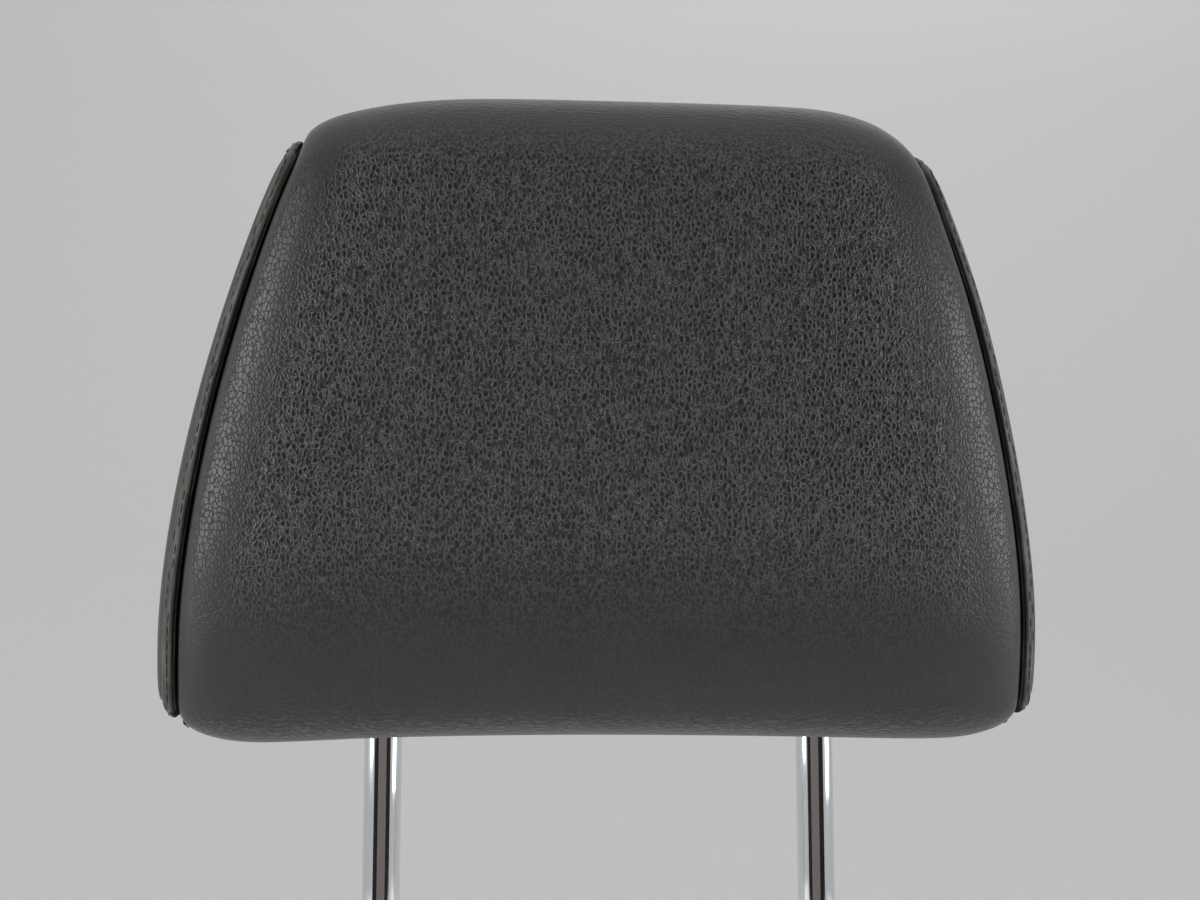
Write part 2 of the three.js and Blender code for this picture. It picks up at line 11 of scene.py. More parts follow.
import bpy
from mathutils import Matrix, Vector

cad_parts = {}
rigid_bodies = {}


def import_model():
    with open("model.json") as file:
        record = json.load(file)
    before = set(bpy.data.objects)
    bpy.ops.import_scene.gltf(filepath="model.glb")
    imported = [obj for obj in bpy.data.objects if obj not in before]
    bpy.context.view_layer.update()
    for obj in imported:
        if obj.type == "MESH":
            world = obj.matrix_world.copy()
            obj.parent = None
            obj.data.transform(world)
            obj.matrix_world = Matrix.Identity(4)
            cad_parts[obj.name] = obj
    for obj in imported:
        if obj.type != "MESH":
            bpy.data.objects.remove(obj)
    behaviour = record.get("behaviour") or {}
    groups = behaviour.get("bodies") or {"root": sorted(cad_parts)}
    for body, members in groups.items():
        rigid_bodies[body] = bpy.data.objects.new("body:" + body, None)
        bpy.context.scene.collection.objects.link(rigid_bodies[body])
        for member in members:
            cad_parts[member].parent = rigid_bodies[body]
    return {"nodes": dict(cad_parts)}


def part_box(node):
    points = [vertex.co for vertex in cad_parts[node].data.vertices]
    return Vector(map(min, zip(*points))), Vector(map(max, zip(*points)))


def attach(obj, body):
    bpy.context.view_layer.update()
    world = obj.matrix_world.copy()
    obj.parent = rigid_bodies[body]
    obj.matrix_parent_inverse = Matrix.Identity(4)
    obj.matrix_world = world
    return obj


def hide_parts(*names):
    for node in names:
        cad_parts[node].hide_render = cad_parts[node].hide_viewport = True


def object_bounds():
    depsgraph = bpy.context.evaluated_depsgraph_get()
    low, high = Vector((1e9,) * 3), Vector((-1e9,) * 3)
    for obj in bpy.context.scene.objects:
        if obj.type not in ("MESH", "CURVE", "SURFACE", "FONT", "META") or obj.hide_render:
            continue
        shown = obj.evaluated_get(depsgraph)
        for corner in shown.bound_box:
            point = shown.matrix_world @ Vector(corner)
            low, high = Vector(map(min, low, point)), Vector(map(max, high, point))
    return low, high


for leftover in list(bpy.data.objects):
    bpy.data.objects.remove(leftover)
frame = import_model()

import numpy as np
from mathutils import Vector
from mathutils.bvhtree import BVHTree
from mathutils.kdtree import KDTree

MM = 0.001
cad_low, cad_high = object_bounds()
print("CAD box:", [round(v / MM, 1) for v in (*cad_low, *cad_high)], "mm")

# %% [markdown]
# ## The camera
# The pad was photographed from straight in front of its leaning face, so the lens sits a little below the
# pad's middle and looks up along the face's own normal.
# Distance, lens and aim were worked out from the outline, the seams and the legs.

# %% Camera
PHOTO_SIDE = -4.52
PHOTO_LIFT = -8.0
PHOTO_DISTANCE = 600 * MM
AIM = Vector((-0.17, 0, 96.2)) * MM
LENS = 54.29


def towards(azimuth, elevation):
    a, e = math.radians(azimuth), math.radians(elevation)
    return Vector((math.sin(a) * math.cos(e), -math.cos(a) * math.cos(e), math.sin(e)))


def facing(direction):
    return direction.to_track_quat("Z", "Y").to_euler()


camera = bpy.data.objects.new("camera", bpy.data.cameras.new("camera"))
bpy.context.scene.collection.objects.link(camera)
camera.data.lens = LENS
camera.data.sensor_width = 36
camera.data.clip_start = 0.05
camera_back = towards(PHOTO_SIDE, PHOTO_LIFT)
camera.location = AIM + camera_back * PHOTO_DISTANCE
camera.rotation_euler = facing(camera_back)
bpy.context.scene.camera = camera
bpy.context.scene.view_settings.view_transform = "Standard"
print("camera at", [round(v / MM) for v in camera.location], "mm")

# %% [markdown]
# ## Small helpers
# An operator acts on whatever is selected, so each step starts with nothing selected but its own piece.
# Faces are picked by their place or normal, as a hand would pick them.

# %% Selection and modifiers
def only(piece):
    bpy.ops.object.select_all(action="DESELECT")
    piece.select_set(True)
    bpy.context.view_layer.objects.active = piece


def edit(piece, kind="VERT"):
    only(piece)
    bpy.ops.object.mode_set(mode="EDIT")
    bpy.ops.mesh.select_mode(type=kind)


def leave():
    bpy.ops.object.mode_set(mode="OBJECT")


def pick_faces(piece, wanted):
    edit(piece, "FACE")
    bpy.ops.mesh.select_all(action="DESELECT")
    leave()
    for face in piece.data.polygons:
        face.select = bool(wanted(face))


def apply(piece, kind, **settings):
    only(piece)
    modifier = piece.modifiers.new(kind.title(), kind)
    for name, value in settings.items():
        setattr(modifier, name, value)
    bpy.ops.object.modifier_apply(modifier=modifier.name)


def named(piece, name):
    piece.name = name
    piece.data.name = name
    return piece


def positions(piece):
    flat = np.empty(len(piece.data.vertices) * 3)
    piece.data.vertices.foreach_get("co", flat)
    return flat.reshape(-1, 3)


def set_positions(piece, points):
    piece.data.vertices.foreach_set("co", np.asarray(points, float).ravel())
    piece.data.update()


def normals(piece):
    flat = np.empty(len(piece.data.vertices) * 3)
    piece.data.vertices.foreach_get("normal", flat)
    return flat.reshape(-1, 3)


def evened(piece, values, held, rounds):
    pairs = np.empty(len(piece.data.edges) * 2, int)
    piece.data.edges.foreach_get("vertices", pairs)
    first, second = pairs.reshape(-1, 2).T
    count = np.bincount(pairs, minlength=len(values))[:, None]
    kept = values[held]
    for _ in range(rounds):
        total = np.zeros_like(values)
        np.add.at(total, first, values[second])
        np.add.at(total, second, values[first])
        values = 0.3 * values + 0.7 * total / count
        values[held] = kept
    return values


def cad_copy(node, name):
    piece = bpy.data.objects.new(name, frame["nodes"][node].data.copy())
    bpy.context.scene.collection.objects.link(piece)
    piece.data.name = name
    piece.data.materials.clear()
    edit(piece)
    bpy.ops.mesh.select_all(action="SELECT")
    bpy.ops.mesh.remove_doubles(threshold=0.01 * MM)
    leave()
    return piece


# %% [markdown]
# ## Materials
# A finish is a few layers of pattern that steer colour, roughness and bump of one shader.
# Every pattern reads Object coordinates, in metres, so a scale of 400 repeats about every 2.5 mm.

# %% Material helpers
def new_material(name, color, roughness, metallic=0.0):
    material = bpy.data.materials.new(name)
    material.use_nodes = True
    shader = material.node_tree.nodes["Principled BSDF"]
    shader.inputs["Base Color"].default_value = (*color, 1)
    shader.inputs["Roughness"].default_value = roughness
    shader.inputs["Metallic"].default_value = metallic
    return material


class Nodes:
    """Adds nodes to a material and joins them."""

    def __init__(self, material):
        self.tree = material.node_tree
        self.shader = self.tree.nodes["Principled BSDF"]
        coordinates = self.add("ShaderNodeTexCoord")
        self.place = coordinates.outputs["Object"]
        self.outwards = coordinates.outputs["Normal"]

    def add(self, kind, **settings):
        node = self.tree.nodes.new(kind)
        for name, value in settings.items():
            setattr(node, name, value)
        return node

    def feed(self, socket, value):
        if isinstance(value, bpy.types.NodeSocket):
            self.tree.links.new(value, socket)
        else:
            socket.default_value = value

    def mapped(self, scale, source=None):
        node = self.add("ShaderNodeMapping")
        node.inputs["Scale"].default_value = scale
        self.feed(node.inputs["Vector"], source or self.place)
        return node.outputs["Vector"]

    def noise(self, scale, detail=2.0, source=None, output="Fac"):
        node = self.add("ShaderNodeTexNoise")
        node.inputs["Scale"].default_value = scale
        node.inputs["Detail"].default_value = detail
        self.feed(node.inputs["Vector"], source or self.place)
        return node.outputs[output]

    def cells(self, scale, feature, source=None):
        node = self.add("ShaderNodeTexVoronoi", feature=feature)
        node.inputs["Scale"].default_value = scale
        node.inputs["Randomness"].default_value = 0.9
        self.feed(node.inputs["Vector"], source or self.place)
        return node.outputs["Distance"]

    def math(self, operation, first, second=0.0):
        node = self.add("ShaderNodeMath", operation=operation)
        self.feed(node.inputs[0], first)
        self.feed(node.inputs[1], second)
        return node.outputs[0]

    def ramp(self, value, low, high, to_low=0.0, to_high=1.0, smooth=True):
        node = self.add("ShaderNodeMapRange")
        node.interpolation_type = "SMOOTHSTEP" if smooth else "LINEAR"
        for name, number in (("From Min", low), ("From Max", high), ("To Min", to_low), ("To Max", to_high)):
            self.feed(node.inputs[name], number)
        self.feed(node.inputs["Value"], value)
        return node.outputs["Result"]

    def blend(self, amount, first, second):
        node = self.add("ShaderNodeMix", data_type="RGBA")
        self.feed(node.inputs["Factor"], amount)
        for socket, color in ((node.inputs[6], first), (node.inputs[7], second)):
            self.feed(socket, color if isinstance(color, bpy.types.NodeSocket) else (*color, 1))
        return node.outputs[2]

    def bump(self, height, distance, strength=1.0, under=None):
        node = self.add("ShaderNodeBump")
        node.inputs["Distance"].default_value = distance
        self.feed(node.inputs["Strength"], strength)
        self.feed(node.inputs["Height"], height)
        if under is not None:
            self.feed(node.inputs["Normal"], under)
        return node.outputs["Normal"]

    def attribute(self, name):
        return self.add("ShaderNodeAttribute", attribute_name=name).outputs["Fac"]

    def upward(self, vector):
        node = self.add("ShaderNodeSeparateXYZ")
        self.feed(node.inputs[0], vector)
        return node.outputs["Z"]

    def set(self, **sockets):
        for name, value in sockets.items():
            self.feed(self.shader.inputs[name.replace("_", " ")], value)


# %% [markdown]
# ## Leatherette
# Leatherette is a fabric with a soft plastic skin, pressed with a grain of small pebbles and cracks.
# Cell noise gives the pebbles: its distance to the nearest edge is flat on a pebble and falls in a crack.
# Beside a seam the skin is stretched, so the grain fades there, and on the top and foot it creases sideways.

# %% Leatherette
GRAIN = 1.6 * MM
CRACK = 0.03
SLOPE = 0.26
GRAIN_DEPTH = 0.17 * MM


def shade(tint, share):
    return tuple(share * c for c in tint)


def warped(n, scale, reach, source):
    amount = n.add("ShaderNodeVectorMath", operation="SCALE")
    n.feed(amount.inputs[0], n.noise(scale, 2, output="Color"))
    amount.inputs["Scale"].default_value = reach
    shifted = n.add("ShaderNodeVectorMath", operation="ADD")
    n.feed(shifted.inputs[0], source)
    n.feed(shifted.inputs[1], amount.outputs[0])
    return shifted.outputs[0]


def seam_place(n):
    node = n.add("ShaderNodeCombineXYZ")
    n.feed(node.inputs["X"], n.attribute("along_seam"))
    n.feed(node.inputs["Y"], n.attribute("from_seam"))
    return node.outputs["Vector"]


def leatherette(name, tint, roughness, grain_share, gap_shade_width, streaks):
    material = new_material(name, tint, roughness)
    n = Nodes(material)
    curly = warped(n, 1500, 0.6 * MM, warped(n, 450, 1.0 * MM, n.place))
    edge = n.cells(1 / GRAIN, "DISTANCE_TO_EDGE", n.mapped((1.15, 1.0, 0.78), curly))
    seam = n.attribute("from_seam")
    up = n.upward(n.place)
    face = n.ramp(seam, 14 * MM, 30 * MM)
    plain_strip = n.ramp(seam, 4 * MM, 8 * MM, 0.04, 1.0)
    low_face = n.ramp(up, 24 * MM, 72 * MM, 0.12, 1.0)
    high_face = n.ramp(up, 194 * MM, 172 * MM, 0.12, 1.0)
    spread = n.math("MULTIPLY", n.math("MULTIPLY", low_face, high_face), plain_strip)
    share = n.math("MULTIPLY", spread, grain_share)
    sloped = n.ramp(edge, CRACK, SLOPE)
    stretched = n.ramp(edge, 0.01, 0.1)
    pebbles = n.ramp(face, 0, 1, stretched, sloped, smooth=False)
    wrinkles = n.noise(1, 3, n.mapped((420, 900, 1150)))
    top_and_foot = n.math("ADD", n.ramp(up, 184 * MM, 202 * MM), n.ramp(up, 20 * MM, 5 * MM))
    crease = n.bump(wrinkles, 0.6 * MM, top_and_foot)
    pulled = n.noise(1, 3, n.mapped((1500, 260, 1), seam_place(n)))
    pull = n.bump(pulled, 0.12 * MM, n.ramp(seam, 7 * MM, 2 * MM), crease)
    fine = n.bump(n.noise(2600, 3), 0.04 * MM, 0.6, pull)
    grain = n.bump(pebbles, GRAIN_DEPTH, share, fine)
    patchy = n.noise(45, 3)
    colour = n.blend(n.ramp(patchy, 0.35, 0.65), shade(tint, 0.88), tint)
    # Painted reflection: on the face the middles of the pebbles are painted dark, standing in for the dark
    # surroundings they mirror; beside a seam they are painted lighter, a painted highlight of the side lamps.
    core = n.blend(face, shade(tint, 1.1), shade(tint, 0.45))
    colour = n.blend(n.math("MULTIPLY", share, n.ramp(edge, 0.12, 0.32)), colour, core)
    # Painted shade: beside a seam the cracks between the pebbles are painted dark.
    crack = n.math("MULTIPLY", n.ramp(edge, 0.07, 0.0), n.ramp(face, 1, 0))
    colour = n.blend(n.math("MULTIPLY", share, crack), colour, shade(tint, 0.45))
    # Painted highlight: broken light strokes on the pebbles' rims over the face stand in for crack walls
    # catching the side lamps.
    rim = n.math("MULTIPLY", n.ramp(edge, 0.03, 0.09), n.ramp(edge, 0.17, 0.10))
    broken = n.ramp(n.noise(1, 2, n.mapped((1100, 1100, 420))), 0.40, 0.52)
    stroke = n.math("MULTIPLY", n.math("MULTIPLY", rim, broken), n.math("MULTIPLY", share, face))
    colour = n.blend(stroke, colour, shade(tint, 5))
    dust = n.ramp(n.cells(330, "F1"), 0.035, 0.02)
    sparse = n.math("MULTIPLY", dust, n.ramp(n.noise(300, 1), 0.62, 0.66))
    colour = n.blend(sparse, colour, (0.2, 0.2, 0.195))
    # Painted highlight: on the foot the crease ridges are painted a light warm colour, though not where the
    # skin faces straight down.
    crease_highlight_and_drape = n.math("MULTIPLY", n.ramp(wrinkles, 0.5, 0.66), n.ramp(up, 13 * MM, 3 * MM, 0, 0.8))
    crease_highlight_and_drape = n.math("MULTIPLY", crease_highlight_and_drape, n.ramp(n.upward(n.outwards), -0.99, -0.90))
    colour = n.blend(crease_highlight_and_drape, colour, (0.15, 0.135, 0.11))
    # Painted highlight: on the gussets light streaks run along the seam strip, as if its folded edge caught
    # the light.
    line = n.ramp(n.noise(1, 2, n.mapped((60, 1500, 1), seam_place(n))), 0.50, 0.60, 0, streaks)
    colour = n.blend(n.math("MULTIPLY", line, n.ramp(seam, 9 * MM, 6 * MM)), colour, shade(tint, 3))
    # Painted shade: in the seam gap the skin is painted near black, in a band narrower over the top, and its
    # roughness is raised to full there.
    gap_shade_width = n.ramp(up, 160 * MM, 190 * MM, gap_shade_width, 0.4 * gap_shade_width)
    depth = n.ramp(n.math("DIVIDE", seam, gap_shade_width), 1, 2)
    colour = n.blend(depth, (0.004, 0.004, 0.004), colour)
    rough = n.ramp(patchy, 0.3, 0.7, roughness - 0.025, roughness + 0.025)
    rough = n.math("MAXIMUM", rough, n.math("SUBTRACT", 1.0, depth))
    n.set(Base_Color=colour, Roughness=rough, Normal=grain)
    n.shader.inputs["IOR"].default_value = 1.5
    return material


front_leather = leatherette("leatherette_front", (0.047, 0.0475, 0.0475), 0.305, 1.0, 0.65 * MM, 0)
side_leather = leatherette("leatherette_side", (0.052, 0.053, 0.045), 0.42, 0.4, 0.55 * MM, 0.8)
print("leatherette pebbles of", round(GRAIN / MM, 2), "mm")

# %% [markdown]
# ## Metal, plastic and foam
# Chrome plate is a near mirror with the faint waviness of the drawn tube under it.
# The plastics have the fine texture of their moulds, and the foam shows its open cells.

# %% Chrome, plastics, zinc, foam and thread
def chrome_plate():
    material = new_material("chrome_plate", (0.80, 0.81, 0.83), 0.05, 1.0)
    n = Nodes(material)
    drawn = n.noise(1, 2, n.mapped((420, 420, 6)))
    swirl = n.noise(60, 3)
    n.set(
        Roughness=n.ramp(swirl, 0.3, 0.7, 0.035, 0.075),
        Normal=n.bump(drawn, 0.02 * MM, 0.25),
    )
    return material


def moulded_plastic(name, color, roughness, texture=1500, depth=0.03 * MM):
    material = new_material(name, color, roughness)
    n = Nodes(material)
    cast = n.noise(texture, 3)
    flow = n.noise(40, 2)
    colour = n.blend(n.ramp(flow, 0.3, 0.7), tuple(0.85 * c for c in color), color)
    n.set(
        Base_Color=colour,
        Roughness=n.ramp(cast, 0.3, 0.7, roughness - 0.05, roughness + 0.08),
        Normal=n.bump(cast, depth, 0.6),
    )
    return material


def zinc_plate():
    material = new_material("zinc_plate", (0.52, 0.50, 0.44), 0.35, 1.0)
    n = Nodes(material)
    spangle = n.cells(900, "F1")
    colour = n.blend(n.ramp(spangle, 0.2, 0.7), (0.56, 0.55, 0.50), (0.46, 0.44, 0.36))
    n.set(Base_Color=colour, Roughness=n.ramp(spangle, 0.1, 0.8, 0.28, 0.42))
    return material


def open_foam():
    material = new_material("open_foam", (0.66, 0.58, 0.36), 0.95)
    n = Nodes(material)
    pores = n.ramp(n.cells(1100, "F1"), 0.15, 0.55)
    age = n.noise(18, 3)
    colour = n.blend(n.ramp(age, 0.3, 0.7), (0.60, 0.50, 0.28), (0.70, 0.63, 0.42))
    # Painted shade: the middles of the foam's pores are painted darker.
    colour = n.blend(n.ramp(pores, 0.0, 1.0, 0.55, 0.0), colour, (0.30, 0.24, 0.12))
    # Painted shade: within a few millimetres of a seam the foam is painted near black, for the shade in the
    # seam gap where it shows.
    colour = n.blend(n.ramp(n.attribute("from_seam"), 6 * MM, 9 * MM), (0.01, 0.01, 0.01), colour)
    n.set(Base_Color=colour, Normal=n.bump(pores, 0.25 * MM, 0.8))
    return material


def thread_finish():
    material = new_material("bonded_thread", (0.062, 0.062, 0.054), 0.45)
    n = Nodes(material)
    twist = n.add("ShaderNodeTexWave", wave_type="BANDS", bands_direction="DIAGONAL")
    twist.inputs["Scale"].default_value = 700
    n.feed(twist.inputs["Vector"], n.place)
    n.set(Normal=n.bump(twist.outputs["Fac"], 0.05 * MM, 0.7))
    return material


chrome = chrome_plate()
black_plastic = moulded_plastic("black_plastic", (0.014, 0.014, 0.014), 0.42)
carrier_plastic = moulded_plastic("carrier_plastic", (0.05, 0.053, 0.057), 0.5, 900, 0.05 * MM)
zinc = zinc_plate()
foam = open_foam()
thread = thread_finish()
print(len(bpy.data.materials), "materials")

# %% [markdown]
# ## Floor and backdrop
# A studio sweep is one sheet of paper that lies on the table and curves up behind it, so no corner shows.
# A plane is scaled to the table, and its far edge is spun a quarter turn and drawn up.

# %% Studio sweep
FLOOR_Z = cad_low[2]
SWEEP_SIDE = 4.0
SWEEP_FAR = 0.7
SWEEP_RADIUS = 1.0
SWEEP_WALL = 3.0

bpy.ops.object.select_all(action="DESELECT")
bpy.ops.mesh.primitive_plane_add(size=2 * SWEEP_SIDE, location=(0, SWEEP_FAR - SWEEP_SIDE, FLOOR_Z))
sweep = named(bpy.context.object, "studio_sweep")
bpy.ops.object.transform_apply(location=True, rotation=False, scale=False)
edit(sweep, "EDGE")
bpy.ops.mesh.select_all(action="DESELECT")
leave()
for edge in sweep.data.edges:
    edge.select = all(sweep.data.vertices[v].co.y > SWEEP_FAR - MM for v in edge.vertices)
edit(sweep, "EDGE")
bpy.ops.mesh.spin(
    steps=32,
    angle=math.radians(-90),
    center=(0, SWEEP_FAR, FLOOR_Z + SWEEP_RADIUS),
    axis=(1, 0, 0),
)
bpy.ops.mesh.extrude_region_move(TRANSFORM_OT_translate={"value": (0, 0, SWEEP_WALL)})
bpy.ops.mesh.select_all(action="SELECT")
bpy.ops.mesh.normals_make_consistent(inside=False)
leave()
bpy.ops.object.shade_smooth()
paper = new_material("sweep_paper", (0.86, 0.86, 0.855), 0.9)
paper_nodes = Nodes(paper)
paper_nodes.set(Normal=paper_nodes.bump(paper_nodes.noise(900, 2), 0.05 * MM, 0.2))
sweep.data.materials.append(paper)
sweep_points = positions(sweep)
print("sweep from", sweep_points.min(0).round(2), "to", sweep_points.max(0).round(2))

# %% [markdown]
# ## Light
# Two soft boxes stand to the left and right, as windows do in a room. They light the rounded edges of the pad
# and draw the two white lines on the chrome legs. A white board on the table sends light up to the foot,
# and a lamp above the sweep makes its upper part brighter.
# A black card behind the camera keeps the middle of the face and of the legs dark.
# The room adds an even light from all sides.

# %% Soft boxes, board, cards and room light
SPREAD = math.radians(150)


def soft_box(name, azimuth, elevation, distance, width, height, radiance, color=(1, 1, 1)):
    data = bpy.data.lights.new(name, "AREA")
    data.shape = "RECTANGLE"
    data.size = width
    data.size_y = height
    data.spread = SPREAD
    half = SPREAD / 2
    data.energy = radiance * math.pi * width * height * (1 - half / math.tan(half))
    data.color = color
    lamp = bpy.data.objects.new(name, data)
    bpy.context.scene.collection.objects.link(lamp)
    way = towards(azimuth, elevation)
    lamp.location = AIM + way * distance
    lamp.rotation_euler = facing(way)
    return lamp


DAYLIGHT = (0.96, 0.99, 1.04)
soft_box("soft_box_left", -73, 10, 1.3, 0.54, 0.74, 4.0, DAYLIGHT)
soft_box("soft_box_right", 77, 6, 1.3, 0.60, 0.62, 3.3, DAYLIGHT)
wash = soft_box("backdrop_wash", 0, 0, 1.0, 1.2, 0.3, 4.6)
wash.rotation_euler = facing(Vector((0, -1, 0)))
wash.location = (0.5, 1.0, 1.7)
board = soft_box("bounce_board", 0, -80, 0.2, 0.9, 0.5, 0.26)
board.rotation_euler = (math.pi, 0, 0)
board.location = (0, -0.12, FLOOR_Z + 3 * MM)
board.visible_camera = False


def card(name, distance, shift, width, height, colour):
    bpy.ops.object.select_all(action="DESELECT")
    bpy.ops.mesh.primitive_plane_add(size=1)
    sheet = named(bpy.context.object, name)
    sheet.scale = (width, height, 1)
    sheet.rotation_euler = facing(towards(PHOTO_SIDE, 0))
    sheet.location = towards(PHOTO_SIDE, 0) * distance + Vector((shift, 0, FLOOR_Z + height / 2))
    bpy.ops.object.transform_apply(location=True, rotation=True, scale=True)
    sheet.data.materials.append(new_material(name, colour, 0.9))
    sheet.visible_camera = False


card("card_black", 0.80, 0.06, 1.90, 1.2, (0.010, 0.011, 0.010))
card("card_brown", 0.78, 0, 0.70, 1.2, (0.30, 0.25, 0.23))

world = bpy.data.worlds.new("room")
world.use_nodes = True
world.node_tree.nodes["Background"].inputs["Color"].default_value = (0.575, 0.575, 0.57, 1)
world.node_tree.nodes["Background"].inputs["Strength"].default_value = 1.0
bpy.context.scene.world = world

# %% [markdown]
# ## The cover's skin
# The cover is cut from sheet, so each panel starts as its outer skin alone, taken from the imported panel.
# Behind a face of the main panel's cut edge there is no other face a sheet's thickness away. A gusset lies
# on the foam all over, so there the outer skin is what stands a sheet's thickness off the foam.
# What isn't linked to the panel's middle goes too. Two levels of subdivision and a little evening of the
# points between their neighbours smooth the rest.

# %% Outer skins of the three panels
COVER_THICKNESS = 2 * MM
THICKEST = 2.2 * COVER_THICKNESS
FIT_GAP = 0.4 * MM
SKIN_ROUNDS = 6


def solid_of(piece):
    return BVHTree.FromObject(piece, bpy.context.evaluated_depsgraph_get())


def cut_edges(panel):
    solid = solid_of(panel)

    def test(face):
        below = face.center - face.normal * 0.05 * MM
        depth = solid.ray_cast(below, -face.normal)[3]
        return depth is None or depth > THICKEST

    return test


def near_foam(panel):
    foam_surface = solid_of(cad_foam)

    def test(face):
        return foam_surface.find_nearest(face.center)[3] < 0.71 * COVER_THICKNESS + FIT_GAP

    return test


def edge_points(skin):
    uses = {}
    for face in skin.data.polygons:
        for key in face.edge_keys:
            uses[key] = uses.get(key, 0) + 1
    return sorted({v for key, n in uses.items() if n == 1 for v in key})


def outer_skin(node, name, middle, unwanted):
    skin = cad_copy(node, name)
    pick_faces(skin, unwanted(skin))
    edit(skin, "FACE")
    bpy.ops.mesh.delete(type="FACE")
    leave()
    start = min(skin.data.polygons, key=lambda face: (face.center - middle).length).index
    pick_faces(skin, lambda face: face.index == start)
    edit(skin, "FACE")
    bpy.ops.mesh.select_linked()
    bpy.ops.mesh.select_all(action="INVERT")
    bpy.ops.mesh.delete(type="FACE")
    bpy.ops.mesh.select_all(action="SELECT")
    bpy.ops.mesh.tris_convert_to_quads(face_threshold=math.radians(60), shape_threshold=math.radians(70))
    leave()
    quads = sum(len(face.vertices) == 4 for face in skin.data.polygons)
    print(name, len(skin.data.polygons), "faces,", quads, "of them quads")
    apply(skin, "SUBSURF", levels=2, render_levels=2)
    set_positions(skin, evened(skin, positions(skin), edge_points(skin), SKIN_ROUNDS))
    return skin


cad_foam = frame["nodes"]["foam_core"]
panel_low, panel_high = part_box("cover_main_panel")
panel_middle = Vector((0, panel_low.y, (panel_low.z + panel_high.z) / 2))
front = outer_skin("cover_main_panel", "cover_front", panel_middle, cut_edges)
sides = {}
for hand, sign in (("left", -1), ("right", 1)):
    low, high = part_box(f"cover_side_{hand}")
    outside = Vector((low.x if sign < 0 else high.x, (low.y + high.y) / 2, (low.z + high.z) / 2))
    sides[hand] = outer_skin(f"cover_side_{hand}", f"cover_gusset_{hand}", outside, near_foam)

# %% [markdown]
# ## Hand-made shape
# Foam and cover are fitted by hand, so the pad of the photo isn't quite even: its left foot corner sits
# lower, its right shoulder is fuller and its top runs slightly uphill to the right.
# Each of these is a soft push of a millimetre or two, made on cover and foam alike so they still fit.

# %% Soft pushes
PUSHES = (
    # place (x, z), push (x, z), reach, all in mm
    ((-122, 10), (-0.7, -1.6), 34),
    ((-100, 180), (0.7, 0), 12),
    ((-96, 196), (-0.8, 0.7), 12),
    ((124, 150), (1.5, 0), 46),
    ((78, 203), (0.2, 1.9), 24),
    ((0, 206), (0, -0.6), 40),
    ((20, 0), (0, -0.4), 90),
)


def push_about(piece):
    points = positions(piece)
    moved = points.copy()
    for (x, z), (push_x, push_z), reach in PUSHES:
        spread = ((points[:, 0] - x * MM) ** 2 + (points[:, 2] - z * MM) ** 2) / (reach * MM) ** 2
        weight = np.exp(-spread)
        moved[:, 0] += push_x * MM * weight
        moved[:, 2] += push_z * MM * weight
    set_positions(piece, moved)
    print(piece.name, "pushed by up to", (np.abs(moved - points).max(0) / MM).round(2), "mm")


for skin in (front, *sides.values()):
    push_about(skin)

# %% [markdown]
# ## The seam lines
# A skin's open edge is where the sewing machine ran. The edge points on each side of the pad form a loop,
# and their order round it gives the line for the stitches.

# %% Seam loops
SEAM_X = 60 * MM
RIM_X = 86 * MM


def seam_loop(skin, sign):
    points = positions(skin)
    rim = [v for v in edge_points(skin) if sign * points[v][0] > SEAM_X and points[v][2] > 0]
    rim_points = points[rim]
    middle = rim_points.mean(0)
    turn = np.arctan2(rim_points[:, 2] - middle[2], rim_points[:, 1] - middle[1])
    return rim_points[np.argsort(turn)]


seams = {hand: seam_loop(sides[hand], sign) for hand, sign in (("left", -1), ("right", 1))}
for hand, loop in seams.items():
    length = np.linalg.norm(loop - np.roll(loop, 1, 0), axis=1).sum()
    print(hand, "seam:", len(loop), "points,", round(length / MM), "mm round")

seam_tree = KDTree(sum(len(loop) for loop in seams.values()))
for i, point in enumerate(np.concatenate(list(seams.values()))):
    seam_tree.insert(point, i)
seam_tree.balance()


seam_along = np.concatenate(
    [np.cumsum(np.linalg.norm(loop - np.roll(loop, 1, 0), axis=1)) for loop in seams.values()]
)


def mark_seam(skin):
    nearest = [seam_tree.find(point) for point in positions(skin)]
    away = skin.data.attributes.new("from_seam", "FLOAT", "POINT")
    away.data.foreach_set("value", [found[2] for found in nearest])
    along = skin.data.attributes.new("along_seam", "FLOAT", "POINT")
    along.data.foreach_set("value", [seam_along[found[1]] for found in nearest])


# %% [markdown]
# ## Stretching the cover over the foam
# The foam presses the cover outwards, and the seams hold it in. A cloth simulation with a little pressure,
# pinned along every open edge, gives the panel that tension.
# The skin moves by less than a millimetre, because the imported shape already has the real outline, and its
# movement is evened out between neighbours, as the foam under it smooths small folds.

# %% Cloth
PRESSURE = 4
CLOTH_FRAMES = 20
CLOTH_REACH = 0.8 * MM
EVENING_ROUNDS = 40


